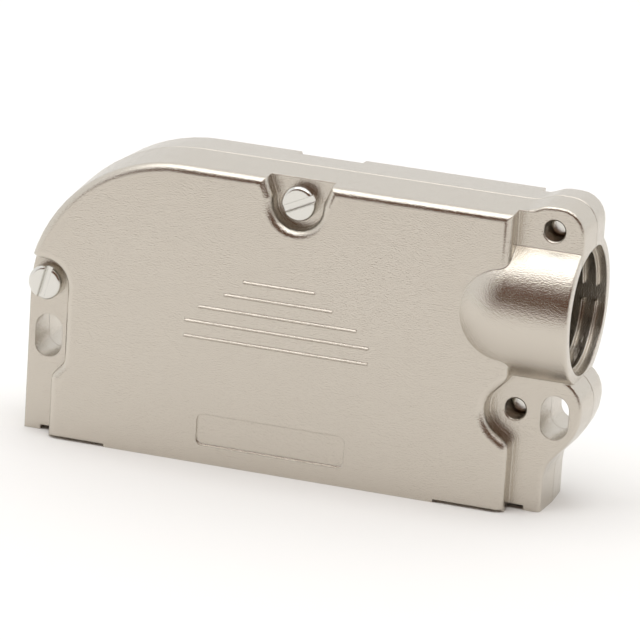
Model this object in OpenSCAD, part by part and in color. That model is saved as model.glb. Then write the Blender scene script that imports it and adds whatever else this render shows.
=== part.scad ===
// Two-part die-cast hood for a 37-way D-sub connector, with one round side cable entry.
// Millimetres. X runs along the connector, Y through the thickness, Z up from the connector.
// The origin is the middle of the seat for the connector's flange. The halves part on Y = 0.

/* [Casting] */
// Width over the two ears at the parting face
hood_w = 74.9; // [72:0.1:80]
// Height from the lower rim to the top edge at the parting face
hood_h = 41.85; // [38:0.05:50]
// Distance from the parting face to the broad raised face of each half
face_d = 8.2; // [7.4:0.1:12]
// Distance from the parting face to the recessed face of the ears
ear_d = 5.2; // [4.6:0.1:6]
// Wall thickness of the broad face and the top
wall = 1.6; // [1.2:0.1:2]
// Radius of the large corner opposite the cable entry
corner_r = 22; // [14:0.5:26]
// Rounding of the edges of the broad face
edge_r = 1.2; // [0.6:0.1:1.6]
// Rounding of the outer edges of the lug and the ear below the entry
ear_edge_r = 0.5; // [0.3:0.05:0.8]
// Draft angle of the outer walls
draft = 3.2; // [1:0.1:4]
// Chamfer along the parting edge
seam = 0.15; // [0.05:0.05:0.3]

/* [Connector seat] */
// Length of the connector's flange
flange_l = 69.32; // [69:0.01:70]
// Width of the connector's flange
flange_w = 12.55; // [12:0.01:13]
// Play round the flange in its seat
flange_play = 0.35; // [0.1:0.05:0.5]
// Depth of the flange seat above the lower rim
seat_h = 0.65; // [0.5:0.05:1.2]
// Distance between the connector's two fixing holes
fixing_pitch = 63.5; // [63:0.05:64]
// Diameter of the fixing holes
fixing_d = 2.9; // [2.5:0.1:3.3]
// Depth of the fixing holes
fixing_l = 8; // [5:0.5:9]
// Height of the step along the lower edge of the broad face
step_h = 0.45; // [0.2:0.05:0.7]
// Depth of that step
step_d = 0.9; // [0.4:0.1:1.2]
// Length of the step at the closed end
step_l = 8.4; // [4:0.1:12]
// Length of the step at the cable end
step_r = 9.8; // [4:0.1:12]

// Half width of the opening for the connector's rear body
lip_d = 5.6; // [5.2:0.1:5.8]
// Height of that narrow opening above the lower rim
lip_h = 3; // [2:0.5:5]

/* [Cable entry] */
// Distance from the top edge down to the entry's axis
entry_drop = 14.25; // [13.85:0.05:15.25]
// Distance from the connector's middle to the entry's end face
entry_x = 40.4; // [39.5:0.1:44]
// Inner diameter of the entry's mouth
mouth_d = 17.8; // [16:0.1:18.4]
// Wall round the entry
entry_wall = 1.5; // [1.2:0.1:2]
// Rounding of the edge round the mouth
mouth_edge = 0.4; // [0.2:0.05:0.6]
// Height of the clamping ribs inside the entry
clamp_rib_h = 0.8; // [0.4:0.1:1.2]
// Width of each clamping rib
clamp_rib_w = 0.6; // [0.4:0.1:1]
// Distance from the end face to the first clamping rib
clamp_rib_x = 1.2; // [0.6:0.1:2]
// Distance between clamping ribs
clamp_rib_pitch = 1.9; // [1.5:0.1:2.5]
// Width of the keyway across the clamping ribs
key_w = 2.2; // [1:0.1:3]
// Distance from the end face to the centre of the entry's round inner end
entry_l = 9.2; // [8:0.1:10]
// Length of the straight bore behind the end face
bore_l = 13; // [12.5:0.1:14]

/* [Ears] */
// Half width of the raised face at its lower edge
face_half = 32.8; // [32:0.1:33.4]
// Height where the raised face steps in at the closed end
pocket_z = 9.9; // [9:0.1:10.6]
// Distance from the middle to the raised face just below the cable entry
low_wall_x = 32.1; // [31.6:0.1:32.6]
// Distance from the middle to the raised face beside the upper lug
lug_wall_x = 31.3; // [30.8:0.1:31.6]
// Rounding of the raised face's outline where it turns
turn_r = 1.7; // [1.7:0.1:2]
// Radius of the pockets round the screws
pocket_r = 3.55; // [3:0.05:3.8]
// Furthest reach of the ear below the cable entry
lobe_x = 42.17; // [41.6:0.05:43.5]
// Distance from the entry's axis down to the top of that ear
lobe_drop = 8.1; // [7.6:0.1:8.8]
// Distance from the entry's axis down to where that ear is widest
lobe_wide_drop = 15.8; // [15.2:0.1:16.4]
// Distance from the entry's axis down to the foot of that ear
lobe_foot_drop = 21.35; // [20.8:0.05:21.8]
// Rounding of that ear's top corner
lobe_r = 4.5; // [3.5:0.1:4.7]
// Rounding where that ear starts to widen
lobe_foot_r = 4; // [3:0.1:5]
// Rounding where that ear is widest
lobe_wide_r = 8; // [6:0.1:9]
// Distance from the middle to the end of the upper lug
lug_x = 40.75; // [40.6:0.05:41.5]
// Height of the upper lug above the top edge
lug_rise = 1; // [0.5:0.05:1.6]
// Length of the upper lug's raised top
lug_l = 6.1; // [5.4:0.1:7]
// Length of the slope from the lug's raised top down to the top edge
lug_slope_l = 2; // [1.6:0.1:2.6]
// Rounding of the lug's outer corner
lug_r = 3.8; // [3:0.1:4]
// Rounding at both ends of the lug's slope
lug_slope_r = 4; // [3:0.1:4.5]
// Width of the oblong windows
window_w = 3.9; // [3:0.1:4.2]
// Height of the oblong windows
window_h = 6.1; // [5:0.1:6.4]
// Centre of the closed-end window from the middle
window_left_x = 34.25; // [34:0.05:34.6]
// Height of the closed-end window's centre
window_left_z = 13.7; // [13:0.1:14.4]
// Centre of the cable-end window from the middle
window_right_x = 38.25; // [38:0.05:38.6]
// Distance from the entry's axis down to the cable-end window's centre
window_right_drop = 14; // [13.4:0.1:14.6]
// Diameter of the cross hole from the closed-end window to the inside
cross_d = 2.6; // [2:0.1:3]

/* [Screws] */
// Thread diameter of the screws
screw_d = 2.8; // [2.5:0.1:3]
// Clearance round the screw in the half it passes through
screw_play = 0.2; // [0.1:0.05:0.3]
// Clearance round the screw in the tapped half
thread_play = 0.05; // [0.03:0.01:0.1]
// Bevel of the screw's tip
tip_bevel = 0.4; // [0.2:0.05:0.5]
// Countersink at the mouth of a tapped hole
thread_sink = 0.2; // [0.1:0.05:0.3]
// Distance from the screw's tip to the far ear face
tip_gap = 2.8; // [1:0.1:3]
// Diameter of the screw head
head_d = 4.8; // [4.4:0.1:5.2]
// Height of the screw head
head_h = 2; // [1.4:0.1:2.2]
// Clearance round a screw head beside the collar
head_play = 0.25; // [0.1:0.05:0.25]
// Rounding of the screw head's edge
head_r = 0.5; // [0.3:0.05:0.7]
// Width of the screwdriver slot
slot_w = 1; // [0.6:0.1:1.2]
// Depth of the screwdriver slot
slot_d = 0.8; // [0.5:0.1:1]
// Distance from the middle to the top screw
top_screw_x = 1.2; // [-2:0.1:4]
// Distance from the top edge down to the top screw
top_screw_drop = 3.55; // [3.3:0.05:4]
// Distance from the parting face to the seat of the top screw
top_seat_d = 5.6; // [5:0.1:6]
// Width of the top screw's notch at the top edge
notch_l = 9.6; // [8.6:0.2:10.4]
// Rounding of the mouth of the top screw's pocket
notch_r = 1.7; // [1.7:0.1:2]
// Distance from the middle to the closed-end screw
left_screw_x = 34.55; // [34.2:0.05:34.8]
// Height of the closed-end screw
left_screw_z = 21.65; // [21:0.05:22.5]
// Distance from the middle to the screw below the entry
low_screw_x = 32.75; // [32.5:0.05:33]
// Distance from the entry's axis down to the screw below it
low_screw_drop = 13.6; // [13.2:0.05:14]
// Distance from the middle to the screw in the upper lug
lug_screw_x = 36.3; // [36:0.05:36.8]
// Distance from the top edge down to the screw in the upper lug
lug_screw_drop = 2.55; // [2.4:0.05:3]

/* [Front decoration] */
// Middle of the raised lines and the panel from the connector's middle
lines_x = -0.5; // [-4:0.1:4]
// Height of the lowest raised line
lines_z = 17.8; // [15:0.1:20]
// Distance between the raised lines
lines_pitch = 2.18; // [1.6:0.02:2.4]
// Length of the longest raised line
line_l = 26.2; // [20:0.1:30]
// Width of the raised lines at their foot
line_w = 0.5; // [0.4:0.02:0.7]
// Width of the raised lines at their crest
line_crest = 0.1; // [0.06:0.02:0.2]
// Height of the raised lines above the face
line_h = 0.2; // [0.1:0.05:0.4]
// Length of the bare sunk panel
panel_l = 21.2; // [16:0.1:26]
// Height of the bare sunk panel
panel_h = 4.4; // [3:0.1:5]
// Height of the panel's centre
panel_z = 4.85; // [4:0.05:6]
// Depth of the panel
panel_d = 0.3; // [0.1:0.05:0.4]
// Corner radius of the panel
panel_r = 0.9; // [0.4:0.1:1.4]

/* [Hidden] */
$fn = 64;
eps = 0.05;
far = 12;
trim = 1.2;
buried = 1;
// How far the lug and the ear below the entry run into the main block
lug_root = 3;
lobe_root = 5;
// Trims of one wall run past each other by this much.
lap = 1;
// The blanks overrun the outer walls by different amounts, so that none of their sides coincide.
ear_spare = 0.4;
notch_spare = 0.3;
face_spare = 0.6;
face_foot = 0.5;
line_share = [1, 1, 0.86, 0.59, 0.39];
satin_nickel = "#c9c1b4";
plated_steel = "#d6d3cc";

half_w = hood_w / 2;
// The entry, its ear, window and screw keep their place below the top edge.
entry_z = hood_h - entry_drop;
entry_r = mouth_d / 2 + entry_wall;
entry_round_x = entry_x - entry_l;
cavity_d = face_d - wall;
// The cavity stays inside the drafted outer wall.
cavity_in = wall + face_d * tan(draft);
post_r = pocket_r + wall;
flange_half_l = (flange_l + flange_play) / 2;
flange_half_w = (flange_w + flange_play) / 2;

// Screw places as [x, height above the lower rim, distance of the head's seat from the parting face]
top_at = [top_screw_x, hood_h - top_screw_drop, top_seat_d];
left_at = [-left_screw_x, left_screw_z, ear_d];
low_at = [low_screw_x, entry_z - low_screw_drop, ear_d];
lug_at = [lug_screw_x, hood_h - lug_screw_drop, ear_d];
front_screws = [top_at, left_at];
rear_screws = [low_at, lug_at];

// Outlines are lists of corners, [x, height, rounding], with the casting on their left.
// The pocket round the low screw opens by one angle downwards and another upwards.
low_bend = 55;
high_bend = 44;
low_reach = pocket_r / cos((low_bend + high_bend) / 2);
low_x = low_at[0] - low_reach * cos((low_bend - high_bend) / 2);
low_z = low_at[1] - low_reach * sin((low_bend - high_bend) / 2);
left_x = left_at[0] + pocket_r;
left_z = left_at[1] + pocket_r;
top_low = top_at[1] - pocket_r;
top_high = top_at[1] + 0.5;
splay_r = edge_r + 0.2;
body_outline = [
    [lug_wall_x + 4, hood_h, 0], [-half_w, hood_h, corner_r], [-half_w, -far, 0]
];
// The roundings of the lug's slope are limited by its length.
lug_slope = norm([lug_slope_l, lug_rise]);
lug_bend_r = min(lug_slope_r, 0.49 * lug_slope / tan(atan2(lug_rise, lug_slope_l) / 2));
lug_outline = [
    [lug_x, entry_z, 0], [lug_x, hood_h + lug_rise, lug_r],
    [lug_x - lug_l, hood_h + lug_rise, lug_bend_r],
    [lug_x - lug_l - lug_slope_l, hood_h, lug_bend_r], [lug_wall_x - lug_root - 1, hood_h, 0]
];
lobe_z = entry_z - lobe_drop;
lobe_outline = [
    [half_w, -far, 0], [half_w, entry_z - lobe_foot_drop, lobe_foot_r],
    [lobe_x, entry_z - lobe_wide_drop, lobe_wide_r], [lobe_x, lobe_z, lobe_r],
    [low_wall_x - lobe_root, lobe_z, 0]
];
left_recess = [
    [-half_w - far / 2, left_z + far, 0], [-half_w + 1.5, left_z, turn_r], [left_x, left_z, pocket_r],
    [left_x, pocket_z + 1, turn_r], [-face_half, pocket_z - 1, turn_r], [-face_half, -far, 0]
];
low_recess = [
    [face_half, -far, 0], [face_half, low_z - (face_half - low_x) / tan(low_bend), turn_r],
    [low_x, low_z, pocket_r], [low_wall_x, low_z + (low_wall_x - low_x) / tan(high_bend), turn_r],
    [low_wall_x, entry_z + lap, 0]
];
lug_recess = [
    [lug_wall_x, entry_z - lap, 0], [lug_wall_x, hood_h + 0.1, turn_r], [lug_wall_x - far, hood_h + far, 0]
];
top_recess = [
    [top_at[0] + notch_l / 2 + far, hood_h + far, 0], [top_at[0] + notch_l / 2, hood_h, notch_r],
    [top_at[0] + pocket_r, top_high, splay_r], [top_at[0] + pocket_r, top_low, pocket_r - eps],
    [top_at[0] - pocket_r, top_low, pocket_r - eps], [top_at[0] - pocket_r, top_high, splay_r],
    [top_at[0] - notch_l / 2, hood_h, notch_r], [top_at[0] - notch_l / 2 - far, hood_h + far, 0]
];

function flat(p) = [p[0], p[1]];
function unit(v) = v / norm(v);
// Signed bend at a corner, positive to the left
function bend_at(path, i) =
    let (u = unit(flat(path[i]) - flat(path[i - 1])), v = unit(flat(path[i + 1]) - flat(path[i])))
    atan2(u[0] * v[1] - u[1] * v[0], u * v);
// Length that the rounding takes from each side of a corner
function take(path, i) =
    i == 0 || i == len(path) - 1 ? 0 : path[i][2] * tan(abs(bend_at(path, i)) / 2);
// Points of a quarter circle from one angle to another
function arc(c, r, from, to, steps = 6) =
    [for (k = [0 : steps]) let (t = from + (to - from) * k / steps) c + r * [cos(t), sin(t)]];

// Stations along an outline, each [x, height, unit vector into the casting]. Bends turn in short steps.
function stations(path) =
    [for (i = [0 : len(path) - 1])
        let (
            last = len(path) - 1,
            way = unit(flat(path[max(i, 1)]) - flat(path[max(i, 1) - 1])),
            bend = i == 0 || i == last ? 0 : bend_at(path, i),
            r = path[i][2],
            in = [-way[1], way[0]],
            centre = flat(path[i]) - way * take(path, i) + sign(bend) * r * in,
            steps = bend == 0 ? 1 : max(2, ceil(abs(bend) / (r > 10 ? 5 : 15))),
            from = atan2(in[1], in[0])
        )
        each bend == 0
            ? [[path[i][0], path[i][1], in[0], in[1]]]
            : [for (k = [0 : steps])
                let (t = from + bend * k / steps, n = [cos(t), sin(t)], p = centre - sign(bend) * r * n)
                [p[0], p[1], n[0], n[1]]]
    ];
function shifted(path, inwards) =
    [for (s = stations(path)) [s[0] + inwards * s[2], s[1] + inwards * s[3]]];

// Sweeps a profile of [distance into the casting, distance from the parting face] along an outline.
// The ends list names the profile points of each end's faces.
module sweep(path, profile, ends) {
    rail = stations(path);
    n = len(profile);
    last = n * (len(rail) - 1);
    points = [for (s = rail, p = profile) [s[0] + p[0] * s[2], s[1] + p[0] * s[3], p[1]]];
    sides = [for (i = [0 : len(rail) - 2], j = [0 : n - 1])
        let (k = (j + 1) % n) [i * n + j, i * n + n + j, i * n + n + k, i * n + k]];
    polyhedron(points, concat(
        sides,
        ends,
        [for (e = ends) [for (j = [len(e) - 1 : -1 : 0]) last + e[j]]]
    ));
}

// Takes off what lies outside an outer wall: its draft, the seam's chamfer and the edge's rounding.
module trim_wall(path, depth, r) {
    inset = (r + (depth - r) * sin(draft)) / cos(draft);
    profile = concat(
        [[-trim, depth + 1], [-trim, -eps], [seam + eps, -eps], [seam * tan(draft), seam]],
        arc([inset, depth - r], r, 180 - draft, 90),
        [[inset, depth + 1]]
    );
    sweep(path, profile, [concat([0, 1], [for (j = [3 : len(profile) - 1]) j]), [1, 2, 3]]);
}

// Shapes one edge of the raised face. The rest is a list of points that closes the outline outside.
module trim_face(path, rest) {
    profile = concat(
        [[-trim, face_d + 1], [-trim, buried + eps], [0, buried + eps]],
        arc([edge_r, face_d - edge_r], edge_r, 180, 90),
        [[edge_r, face_d + 1]]
    );
    sweep(path, profile, [[for (j = [0 : len(profile) - 1]) j]]);
    translate([0, 0, buried]) linear_extrude(face_d) polygon(concat(shifted(path, -trim / 2), rest));
}

module blank(h, spare) {
    edge = lug_wall_x + 2 + spare;
    linear_extrude(h)
        polygon(concat(shifted(body_outline, -spare), [[edge, -far], [edge, hood_h + spare]]));
}

// The casting's forms lie flat here: x along the hood, y its height above the lower rim and z the
// distance from the parting face.
module main_block() {
    side = 2 * far + half_w;
    difference() {
        union() {
            blank(ear_d, ear_spare);
            translate([top_at[0] - notch_l / 2 - 1, top_at[1] - 2 * pocket_r, buried])
                cube([notch_l + 2, hood_h - top_at[1] + 2 * pocket_r + notch_spare, top_seat_d - buried]);
            difference() {
                translate([0, 0, face_foot]) blank(face_d - face_foot, face_spare);
                trim_face(left_recess, [[-side, -far], [-side, left_z + far]]);
                trim_face(low_recess, [[side - 2, entry_z + lap], [side - 2, -far]]);
                trim_face(lug_recess, [[side, hood_h + far], [side, entry_z - lap]]);
                trim_face(top_recess, []);
            }
        }
        trim_wall(body_outline, face_d, edge_r);
        translate([-side, -2 * far, -1]) cube([2 * side, 2 * far, face_d + 2]);
    }
}

module lug() {
    root_x = lug_wall_x - lug_root;
    difference() {
        linear_extrude(ear_d) polygon(concat(
            shifted(lug_outline, -trim / 2),
            [[root_x, hood_h - lug_root], [root_x, entry_z]]
        ));
        trim_wall(lug_outline, ear_d, ear_edge_r);
    }
}

module lobe() {
    difference() {
        linear_extrude(ear_d) intersection() {
            polygon(concat(shifted(lobe_outline, -trim / 2), [[low_wall_x - lobe_root, -far]]));
            translate([low_wall_x - lobe_root + 1, 0]) square([far + lobe_x, lobe_z + far]);
        }
        trim_wall(lobe_outline, ear_d, ear_edge_r);
    }
}

// The round collar of the cable entry, with a ball end that dies into the raised face
module collar() {
    translate([0, entry_z, 0])
        rotate([90, 0, 90])
            rotate_extrude(angle = 180) {
                intersection() {
                    translate([0, entry_round_x]) circle(entry_r);
                    translate([0, entry_round_x - entry_r]) square(entry_r);
                }
                translate([0, entry_round_x]) square([entry_r, entry_l - mouth_edge]);
                translate([0, entry_x - mouth_edge - eps]) square([entry_r - mouth_edge, mouth_edge + eps]);
                translate([entry_r - mouth_edge, entry_x - mouth_edge]) circle(mouth_edge, $fn = 32);
            }
}

// Raised lines with sloping sides
module decoration() {
    for (k = [0 : len(line_share) - 1]) {
        l = line_l * line_share[k];
        translate([lines_x - l / 2, lines_z + k * lines_pitch, face_d])
            rotate([90, 0, 90])
                linear_extrude(l)
                    polygon([
                        [-line_w / 2, -eps], [line_w / 2, -eps], [line_crest / 2, line_h], [-line_crest / 2, line_h]
                    ]);
    }
}

module rounded_plate(size, r, h) {
    linear_extrude(h) {
        square([size[0] - 2 * r, size[1]], center = true);
        square([size[0], size[1] - 2 * r], center = true);
        for (x = [-1, 1], y = [-1, 1])
            translate([x * (size[0] / 2 - r), y * (size[1] / 2 - r)]) circle(r, $fn = 32);
    }
}

module window(x, z) {
    translate([x, z, -1])
        linear_extrude(face_d + 2) {
            square([window_w, window_h - window_w], center = true);
            for (y = [-1, 1]) translate([0, y * (window_h - window_w) / 2]) circle(window_w / 2);
        }
}

// The space for the wires, with a solid post left round the top screw
module cavity() {
    left = left_x + wall;
    right = low_at[0] - pocket_r - wall;
    top = hood_h - cavity_in;
    inner_r = corner_r - cavity_in;
    difference() {
        union() {
            translate([left, -1, -1]) cube([right - left, lip_h + 2, lip_d + 1]);
            translate([left, lip_h, -1]) cube([right - left, hood_h - corner_r - lip_h, cavity_d + 1]);
            translate([corner_r - half_w, lip_h, -1])
                cube([right - corner_r + half_w, top - lip_h, cavity_d + 1]);
            intersection() {
                translate([corner_r - half_w, hood_h - corner_r, -1])
                    cylinder(cavity_d + 1, r = inner_r, $fn = 128);
                translate([left, lip_h, -1]) cube([corner_r - half_w - left, top - lip_h, cavity_d + 1]);
            }
        }
        translate([top_at[0], top_at[1], -2]) cylinder(face_d + 2, r = post_r);
        translate([top_at[0] - post_r, top_at[1], -2]) cube([2 * post_r, far, face_d + 2]);
    }
}

// The straight bore of the cable entry, with clamping ribs that a keyway crosses
module entry_bore() {
    translate([0, entry_z, 0])
        rotate([90, 0, 90])
            difference() {
                translate([0, 0, entry_x - bore_l]) cylinder(bore_l + 1, d = mouth_d);
                difference() {
                    for (k = [0, 1]) translate([0, 0, entry_x - clamp_rib_x - clamp_rib_w - k * clamp_rib_pitch])
                        difference() {
                            cylinder(clamp_rib_w, d = mouth_d + 1);
                            translate([0, 0, -1]) cylinder(clamp_rib_w + 2, d = mouth_d - 2 * clamp_rib_h);
                        }
                    translate([-key_w / 2, 0, entry_x - bore_l]) cube([key_w, far, bore_l]);
                }
            }
}

module connector_seat() {
    translate([-flange_half_l, -1, -1]) cube([2 * flange_half_l, seat_h + 1, flange_half_w + 1]);
    for (x = [-1, 1]) translate([x * fixing_pitch / 2, 0, 0])
        rotate([-90, 0, 0]) cylinder(seat_h + fixing_l, d = fixing_d);
    translate([-face_half - 1, -1, face_d - step_d]) cube([step_l + 1, step_h + 1, step_d + 1]);
    translate([face_half - step_r, -1, face_d - step_d]) cube([step_r + 1, step_h + 1, step_d + 1]);
}

module hole(at, d) {
    translate([at[0], at[1], -1]) cylinder(face_d + 2, d = d);
}

// Room for a screw head where the collar comes close to its seat
module head_space(at) {
    translate(at) cylinder(far, d = head_d + 2 * head_play);
}

module tapped_hole(at) {
    d = screw_d + 2 * thread_play;
    hole(at, d);
    translate([at[0], at[1], at[2] - thread_sink])
        cylinder(thread_sink + eps, d1 = d, d2 = d + 2 * (thread_sink + eps));
}

// One half of the hood, lying flat
module half_shell(own_screws, other_screws, decorated) {
    difference() {
        union() {
            main_block();
            lug();
            lobe();
            difference() {
                collar();
                for (s = own_screws) head_space(s);
            }
            if (decorated) decoration();
        }
        cavity();
        entry_bore();
        connector_seat();
        window(-window_left_x, window_left_z);
        window(window_right_x, entry_z - window_right_drop);
        translate([-window_left_x, window_left_z, 0])
            rotate([0, 90, 0]) cylinder(window_left_x + left_x + 2 * wall, d = cross_d);
        for (s = own_screws) hole(s, screw_d + 2 * screw_play);
        for (s = other_screws) tapped_hole(s);
        if (decorated)
            translate([lines_x, panel_z, face_d - panel_d]) rounded_plate([panel_l, panel_h], panel_r, 1);
    }
}

// A slotted cheese-head screw, lying flat with its head away from the parting face
module screw(at, slot_angle) {
    tip = tip_gap - ear_d;
    translate([at[0], at[1], 0])
        difference() {
            rotate_extrude() {
                translate([0, tip + tip_bevel]) square([screw_d / 2, at[2] - tip - tip_bevel + eps]);
                polygon([
                    [0, tip], [screw_d / 2 - tip_bevel, tip], [screw_d / 2, tip + tip_bevel], [0, tip + tip_bevel]
                ]);
                translate([0, at[2]]) square([head_d / 2, head_h - head_r]);
                translate([0, at[2]]) square([head_d / 2 - head_r, head_h]);
                translate([head_d / 2 - head_r, at[2] + head_h - head_r]) circle(head_r, $fn = 32);
            }
            translate([0, 0, at[2] + head_h - slot_d])
                rotate([0, 0, slot_angle]) translate([-head_d, -slot_w / 2, 0]) cube([2 * head_d, slot_w, head_h]);
        }
}

// Stands the flat casting up, front half towards -Y, with the flange seat at the origin.
module upright(rear = false) {
    translate([0, 0, -seat_h]) rotate([90, 0, 0]) mirror([0, 0, rear ? 1 : 0]) children();
}

module front_shell() {
    color(satin_nickel) upright() half_shell(front_screws, rear_screws, true);
}

module rear_shell() {
    color(satin_nickel) upright(true) half_shell(rear_screws, front_screws, false);
}

module top_screw() {
    color(plated_steel) upright() screw(top_at, 26);
}

module closed_end_screw() {
    color(plated_steel) upright() screw(left_at, 76);
}

module lug_screw() {
    color(plated_steel) upright(true) screw(lug_at, 15);
}

module entry_screw() {
    color(plated_steel) upright(true) screw(low_at, 120);
}

front_shell();
rear_shell();
top_screw();
closed_end_screw();
lug_screw();
entry_screw();
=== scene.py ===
"""Dresses the hood's castings and screws, and sets them on a pale table in a soft studio."""

import math

import bmesh
import bpy
from bpy.props import FloatProperty, PointerProperty, StringProperty
from mathutils import Matrix, Vector


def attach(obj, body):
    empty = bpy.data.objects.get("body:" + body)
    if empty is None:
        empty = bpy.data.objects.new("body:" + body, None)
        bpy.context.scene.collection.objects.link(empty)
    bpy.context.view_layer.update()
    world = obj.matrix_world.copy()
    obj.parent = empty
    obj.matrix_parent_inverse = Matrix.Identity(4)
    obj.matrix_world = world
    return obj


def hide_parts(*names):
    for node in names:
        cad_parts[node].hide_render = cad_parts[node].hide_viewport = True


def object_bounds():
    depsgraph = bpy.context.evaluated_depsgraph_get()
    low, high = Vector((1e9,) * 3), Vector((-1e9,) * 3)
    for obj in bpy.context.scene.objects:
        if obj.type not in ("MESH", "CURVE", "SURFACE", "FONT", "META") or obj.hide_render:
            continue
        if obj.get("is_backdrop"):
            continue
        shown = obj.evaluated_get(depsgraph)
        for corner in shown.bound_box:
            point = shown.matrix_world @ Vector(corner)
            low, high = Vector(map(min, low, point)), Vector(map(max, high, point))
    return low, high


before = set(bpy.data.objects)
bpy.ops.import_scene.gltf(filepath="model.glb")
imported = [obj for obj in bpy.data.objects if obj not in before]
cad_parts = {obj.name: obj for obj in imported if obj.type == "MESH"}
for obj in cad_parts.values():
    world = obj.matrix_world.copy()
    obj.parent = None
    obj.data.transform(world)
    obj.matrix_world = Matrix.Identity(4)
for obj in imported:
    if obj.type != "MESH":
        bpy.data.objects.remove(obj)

bl_info = {
    "name": "D-sub hood",
    "version": (1, 0, 0),
    "blender": (4, 5, 0),
    "location": "3D View > Sidebar > Hood",
    "description": "Finishes for a die-cast connector hood, with a studio to see it in",
    "category": "Object",
}

MM = 0.001
BODY = "root"
CASTINGS = ("front_shell", "rear_shell")
SCREWS = ("top_screw", "closed_end_screw", "lug_screw", "entry_screw")
MERGE_DISTANCE = 0.001 * MM
FLAT_ANGLE = math.radians(0.4)
CREASE_ANGLE = math.radians(32)
BEVEL_SAMPLES = 6
SCREW_MARK_SIZE = 0.6 * MM
SCREW_MARK_DEPTH = 0.01 * MM
FACE_WEIGHT = 100

# The studio, in metres and watts. The softbox is placed in the shared frame, and the card is held
# a small gap above the table.
TABLE_SIDE = 6
TABLE_ROUGHNESS = 0.9
CARD_ROUGHNESS = 0.95
MATT_SPECULAR = 0.2
CARD_WIDTH = 3.2
CARD_HEIGHT = 1.9
CARD_DISTANCE = 1.1
CARD_GAP = 0.004
SOFTBOX_PLACE = (0, -0.25, 0.9)
SOFTBOX_AIM = (0, -0.24, 0)
SOFTBOX_WIDTH = 1.2
SOFTBOX_DEPTH = 0.88
SOFTBOX_WATTS = 5.0

# The camera: its sensor in millimetres, its shift in parts of the picture's width.
SENSOR_WIDTH = 36
CAMERA_SHIFT = (0.0318, -0.0121)
VIEW_END = 20


def linear(code):
    """A linear RGBA colour from an sRGB hex code."""
    parts = [int(code[i : i + 2], 16) / 255 for i in (1, 3, 5)]
    return tuple(c / 12.92 if c <= 0.04045 else ((c + 0.055) / 1.055) ** 2.4 for c in parts) + (1.0,)


def add_node(tree, kind, settings=(), sockets=(), links=()):
    """Adds a node: its settings, the values of its inputs, and links into its inputs."""
    made = tree.nodes.new(kind)
    for name, value in dict(settings).items():
        setattr(made, name, value)
    for name, value in dict(sockets).items():
        made.inputs[name].default_value = value
    for name, source in dict(links).items():
        tree.links.new(source, made.inputs[name])
    return made


def new_material(name):
    """An empty material of that name, with the tree that holds its nodes."""
    made = bpy.data.materials.new(name)
    made.use_nodes = True
    made.node_tree.nodes.clear()
    return made, made.node_tree


def close_material(tree, shader):
    """Joins the shader to the material's output."""
    add_node(tree, "ShaderNodeOutputMaterial", links={"Surface": shader.outputs[0]})


def satin_nickel(finish):
    """Satin nickel plate over die-cast zinc. The blasted mould leaves a fine, even, sand-like grain,
    so edges glint and the broad faces look soft and slightly speckled."""
    made, tree = new_material("satin_nickel_on_zinc")
    place = add_node(tree, "ShaderNodeTexCoord").outputs["Object"]
    # The real grain is about 0.1 mm, and it is drawn twice as coarse so that it shows.
    grain = add_node(
        tree,
        "ShaderNodeTexNoise",
        sockets={"Scale": 1 / finish.grain_size, "Detail": 2.0, "Roughness": 0.6},
        links={"Vector": place},
    )
    edge = add_node(tree, "ShaderNodeBevel", {"samples": BEVEL_SAMPLES}, {"Radius": finish.edge_softness})
    bump = add_node(
        tree,
        "ShaderNodeBump",
        sockets={"Strength": 1.0, "Distance": finish.grain_depth},
        links={"Height": grain.outputs["Fac"], "Normal": edge.outputs["Normal"]},
    )
    shader = add_node(
        tree,
        "ShaderNodeBsdfPrincipled",
        sockets={"Base Color": linear(finish.nickel), "Metallic": 1.0, "Roughness": finish.nickel_roughness},
        links={"Normal": bump.outputs["Normal"]},
    )
    close_material(tree, shader)
    return made


def plated_screw_steel(finish):
    """Bright plated steel of a turned screw: smoother and cooler than the castings."""
    made, tree = new_material("bright_plated_steel")
    place = add_node(tree, "ShaderNodeTexCoord").outputs["Object"]
    marks = add_node(
        tree,
        "ShaderNodeTexNoise",
        sockets={"Scale": 1 / SCREW_MARK_SIZE, "Detail": 1.0},
        links={"Vector": place},
    )
    edge = add_node(tree, "ShaderNodeBevel", {"samples": BEVEL_SAMPLES}, {"Radius": finish.edge_softness})
    bump = add_node(
        tree,
        "ShaderNodeBump",
        sockets={"Strength": 1.0, "Distance": SCREW_MARK_DEPTH},
        links={"Height": marks.outputs["Fac"], "Normal": edge.outputs["Normal"]},
    )
    shader = add_node(
        tree,
        "ShaderNodeBsdfPrincipled",
        sockets={"Base Color": linear(finish.steel), "Metallic": 1.0, "Roughness": finish.steel_roughness},
        links={"Normal": bump.outputs["Normal"]},
    )
    close_material(tree, shader)
    return made


def dressed_copy(node_name, piece_name, material):
    """A welded, smoothly shaded copy of one solid, shown in the solid's place."""
    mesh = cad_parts[node_name].data.copy()
    mesh.name = piece_name
    work = bmesh.new()
    work.from_mesh(mesh)
    bmesh.ops.remove_doubles(work, verts=work.verts, dist=MERGE_DISTANCE)
    bmesh.ops.dissolve_degenerate(work, edges=work.edges, dist=MERGE_DISTANCE)
    bmesh.ops.dissolve_limit(
        work, angle_limit=FLAT_ANGLE, verts=work.verts, edges=work.edges, delimit={"NORMAL"}
    )
    for face in work.faces:
        face.smooth = True
    for edge in work.edges:
        edge.smooth = edge.is_manifold and edge.calc_face_angle(0) < CREASE_ANGLE
    work.to_mesh(mesh)
    work.free()
    mesh.materials.clear()
    mesh.materials.append(material)
    piece = bpy.data.objects.new(piece_name, mesh)
    bpy.context.scene.collection.objects.link(piece)
    flat = piece.modifiers.new("even_normals", "WEIGHTED_NORMAL")
    flat.weight = FACE_WEIGHT
    flat.keep_sharp = True
    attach(piece, BODY)
    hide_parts(node_name)
    return piece


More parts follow.
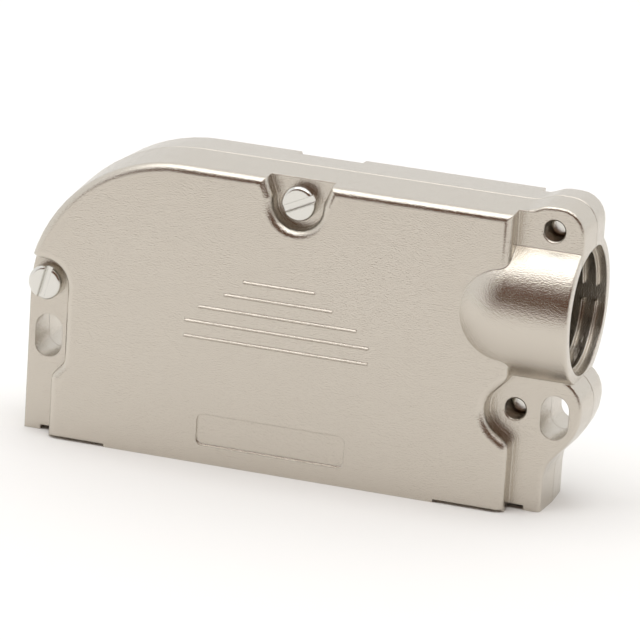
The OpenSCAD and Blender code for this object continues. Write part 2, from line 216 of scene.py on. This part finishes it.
class HoodFinish(bpy.types.PropertyGroup):
    """Colours and textures of the plated metal."""

    nickel: StringProperty(name="Nickel", description="Colour of the castings", default="#cbc4b9")
    steel: StringProperty(name="Screw steel", description="Colour of the screws", default="#dad8d2")
    nickel_roughness: FloatProperty(
        name="Nickel roughness", description="Blur of the castings' reflections", default=0.24, min=0, max=1
    )
    steel_roughness: FloatProperty(
        name="Steel roughness", description="Blur of the screws' reflections", default=0.2, min=0, max=1
    )
    grain_size: FloatProperty(
        name="Grain size", description="Width of the casting's grain", default=0.2 * MM, unit="LENGTH"
    )
    grain_depth: FloatProperty(
        name="Grain depth", description="Depth of the casting's grain", default=0.05 * MM, unit="LENGTH"
    )
    edge_softness: FloatProperty(
        name="Edge softness", description="Rounding seen on small edges", default=0.25 * MM, unit="LENGTH"
    )


class HoodStudio(bpy.types.PropertyGroup):
    """The table, the lights and the camera."""

    azimuth: FloatProperty(
        name="Azimuth", description="Turn of the camera", default=math.radians(17.829), subtype="ANGLE"
    )
    elevation: FloatProperty(
        name="Elevation", description="Rise of the camera", default=math.radians(17.201), subtype="ANGLE"
    )
    roll: FloatProperty(
        name="Roll", description="Tilt of the camera", default=math.radians(3.62), subtype="ANGLE"
    )
    distance: FloatProperty(
        name="Distance", description="From the aim to the camera", default=0.75, unit="LENGTH"
    )
    lens: FloatProperty(name="Lens", description="Focal length in millimetres", default=310.245)
    aim_height: FloatProperty(
        name="Aim height", description="Height of the aim above the rim", default=20.95 * MM, unit="LENGTH"
    )
    table: StringProperty(name="Table", description="Colour of the table", default="#f4f3f1")
    dark_card: StringProperty(name="Dark card", description="Colour of the card", default="#5c3b24")


class HOOD_OT_castings(bpy.types.Operator):
    """Finish the two castings"""

    bl_idname = "hood.castings"
    bl_label = "Finish castings"

    def execute(self, context):
        material = satin_nickel(context.scene.hood_finish)
        for name in CASTINGS:
            dressed_copy(name, name.replace("shell", "casting"), material)
        return {"FINISHED"}


class HOOD_OT_screws(bpy.types.Operator):
    """Finish the four screws"""

    bl_idname = "hood.screws"
    bl_label = "Finish screws"

    def execute(self, context):
        material = plated_screw_steel(context.scene.hood_finish)
        for name in SCREWS:
            dressed_copy(name, "plated_" + name, material)
        return {"FINISHED"}


def plain_material(name, code, roughness):
    """A matt material of one colour, for the studio."""
    made, tree = new_material(name)
    shader = add_node(
        tree,
        "ShaderNodeBsdfPrincipled",
        sockets={"Base Color": linear(code), "Roughness": roughness, "Specular IOR Level": MATT_SPECULAR},
    )
    close_material(tree, shader)
    return made


def stage_sheet(name, width, depth, place, material):
    """A flat rectangular piece of the studio, placed by a matrix."""
    mesh = bpy.data.meshes.new(name)
    work = bmesh.new()
    bmesh.ops.create_grid(work, x_segments=1, y_segments=1, size=0.5)
    bmesh.ops.scale(work, vec=(width, depth, 1), verts=work.verts)
    bmesh.ops.transform(work, matrix=place, verts=work.verts)
    work.to_mesh(mesh)
    work.free()
    mesh.materials.append(material)
    made = bpy.data.objects.new(name, mesh)
    bpy.context.scene.collection.objects.link(made)
    made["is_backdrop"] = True
    return made


def looking_from(place, aim, roll=0.0):
    """A matrix for a camera or lamp at a place, looking at the aim."""
    away = (place - aim).normalized()
    right = Vector((0, 0, 1)).cross(away).normalized()
    up = away.cross(right)
    turned_right = right * math.cos(roll) + up * math.sin(roll)
    turned_up = up * math.cos(roll) - right * math.sin(roll)
    return Matrix.Translation(place) @ Matrix((turned_right, turned_up, away)).transposed().to_4x4()


def area_lamp(name, place, aim, width, depth, power):
    """A rectangular lamp at a place, shining at the aim."""
    lamp = bpy.data.lights.new(name, "AREA")
    lamp.shape = "RECTANGLE"
    lamp.size = width
    lamp.size_y = depth
    lamp.energy = power
    made = bpy.data.objects.new(name, lamp)
    made.matrix_world = looking_from(Vector(place), Vector(aim))
    bpy.context.scene.collection.objects.link(made)
    return made


def studio_world(scene):
    """A plain white surround, which the camera and the metal see."""
    world = bpy.data.worlds.new("white_surround")
    world.use_nodes = True
    tree = world.node_tree
    tree.nodes.clear()
    white = add_node(tree, "ShaderNodeBackground", sockets={"Color": (1, 1, 1, 1), "Strength": 1.0})
    add_node(tree, "ShaderNodeOutputWorld", links={"Surface": white.outputs[0]})
    scene.world = world


class HOOD_OT_studio(bpy.types.Operator):
    """Set the table, the lights and the camera"""

    bl_idname = "hood.studio"
    bl_label = "Set the studio"

    def execute(self, context):
        scene = context.scene
        studio = scene.hood_studio
        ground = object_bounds()[0][2]
        table = plain_material("matt_white_table", studio.table, TABLE_ROUGHNESS)
        card = plain_material("dark_brown_card", studio.dark_card, CARD_ROUGHNESS)
        stage_sheet("table", TABLE_SIDE, TABLE_SIDE, Matrix.Translation((0, 0, ground)), table)
        toward = Vector((math.sin(studio.azimuth), -math.cos(studio.azimuth), 0))
        # A dark brown card behind the camera gives the metal its dark bands.
        side = Vector((0, 0, 1)).cross(toward)
        upright = Matrix((side, Vector((0, 0, 1)), toward)).transposed().to_4x4()
        card_middle = ground + CARD_HEIGHT / 2 + CARD_GAP
        screen = stage_sheet(
            "dark_screen",
            CARD_WIDTH,
            CARD_HEIGHT,
            Matrix.Translation(toward * CARD_DISTANCE + Vector((0, 0, card_middle))) @ upright,
            card,
        )
        screen.visible_camera = False
        area_lamp(
            "overhead_softbox", SOFTBOX_PLACE, SOFTBOX_AIM, SOFTBOX_WIDTH, SOFTBOX_DEPTH, SOFTBOX_WATTS
        )
        studio_world(scene)
        lens = bpy.data.cameras.new("camera")
        lens.lens = studio.lens
        lens.sensor_width = SENSOR_WIDTH
        lens.shift_x, lens.shift_y = CAMERA_SHIFT
        lens.clip_end = VIEW_END
        camera = bpy.data.objects.new("camera", lens)
        aim = Vector((0, 0, ground + studio.aim_height))
        rise = math.cos(studio.elevation)
        away = Vector((toward.x * rise, toward.y * rise, math.sin(studio.elevation)))
        camera.matrix_world = looking_from(aim + away * studio.distance, aim, studio.roll)
        scene.collection.objects.link(camera)
        scene.camera = camera
        scene.view_settings.view_transform = "Standard"
        return {"FINISHED"}


class HOOD_PT_panel(bpy.types.Panel):
    """Lists the hood's finishes and its studio"""

    bl_idname = "HOOD_PT_panel"
    bl_label = "D-sub hood"
    bl_space_type = "VIEW_3D"
    bl_region_type = "UI"
    bl_category = "Hood"

    def draw(self, context):
        for group, operators in (
            (context.scene.hood_finish, (HOOD_OT_castings, HOOD_OT_screws)),
            (context.scene.hood_studio, (HOOD_OT_studio,)),
        ):
            box = self.layout.box()
            for name in group.__annotations__:
                box.prop(group, name)
            for operator in operators:
                box.operator(operator.bl_idname)


CLASSES = (HoodFinish, HoodStudio, HOOD_OT_castings, HOOD_OT_screws, HOOD_OT_studio, HOOD_PT_panel)


def register():
    for made in CLASSES:
        bpy.utils.register_class(made)
    bpy.types.Scene.hood_finish = PointerProperty(type=HoodFinish)
    bpy.types.Scene.hood_studio = PointerProperty(type=HoodStudio)


def unregister():
    del bpy.types.Scene.hood_studio
    del bpy.types.Scene.hood_finish
    for made in reversed(CLASSES):
        bpy.utils.unregister_class(made)


def main():
    """Dresses the hood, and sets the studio."""
    register()
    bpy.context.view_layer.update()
    bpy.ops.hood.castings()
    bpy.ops.hood.screws()
    bpy.ops.hood.studio()


if __name__ == "__main__":
    main()
